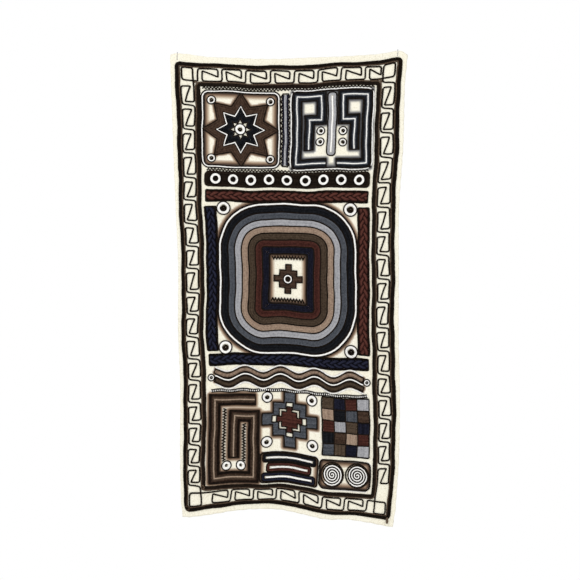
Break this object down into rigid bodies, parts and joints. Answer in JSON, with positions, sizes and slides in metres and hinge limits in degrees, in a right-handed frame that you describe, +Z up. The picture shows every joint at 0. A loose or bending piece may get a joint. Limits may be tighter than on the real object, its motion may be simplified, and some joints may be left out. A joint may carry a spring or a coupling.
{
  "type": "embroidered wall hanging",
  "caption": "Upright cream cloth hanging with an uneven hem, dark couched bands, a fret border and raised yarn motifs, to hang flat on a wall.",
  "frame": {"origin": "middle of the top edge, on the back of the cloth", "axes": "+Z up, +X to the right seen from the front, the front faces -Y and the wall is at +Y"},
  "size_m": [0.6415, 0.0157, 1.2843],
  "materials": {
    "cloth": "matt woven wool",
    "band_yarn": "couched wool yarn",
    "charcoal_yarn": "wool yarn",
    "slate_yarn": "wool yarn",
    "light_grey_yarn": "wool yarn",
    "tan_yarn": "wool yarn",
    "olive_yarn": "wool yarn",
    "maroon_yarn": "wool yarn",
    "navy_yarn": "wool yarn",
    "brown_yarn": "wool yarn"
  },
  "bodies": {
    "root": {"cloth": "cloth", "band_outer_top": "band_yarn", "band_outer_bottom": "band_yarn", "band_outer_left": "band_yarn", "band_outer_right": "band_yarn", "band_inner_top": "band_yarn", "band_inner_bottom": "band_yarn", "band_inner_left": "band_yarn", "band_inner_right": "band_yarn", "plait_top": "maroon_yarn", "plait_left": "navy_yarn", "plait_right": "maroon_yarn", "plait_bottom": "navy_yarn", "medallion_charcoal": "charcoal_yarn", "medallion_slate": "slate_yarn", "medallion_light_grey": "light_grey_yarn", "medallion_tan": "tan_yarn", "medallion_olive": "olive_yarn", "medallion_maroon": "maroon_yarn", "medallion_navy": "navy_yarn", "medallion_heart": "brown_yarn", "star_ring": "brown_yarn", "star_heart": "charcoal_yarn", "toothed_bar": "navy_yarn", "hook_left": "charcoal_yarn", "hook_right": "charcoal_yarn", "pillar": "light_grey_yarn", "ring_bar": "band_yarn", "wave_upper": "tan_yarn", "wave_lower": "olive_yarn", "hook_lower": "brown_yarn", "cross_ring": "slate_yarn", "cross_heart": "maroon_yarn", "checks": "olive_yarn", "bar_upper": "charcoal_yarn", "bar_middle": "maroon_yarn", "bar_lower": "navy_yarn", "disc_left": "charcoal_yarn", "disc_right": "charcoal_yarn"}
  },
  "joints": []
}
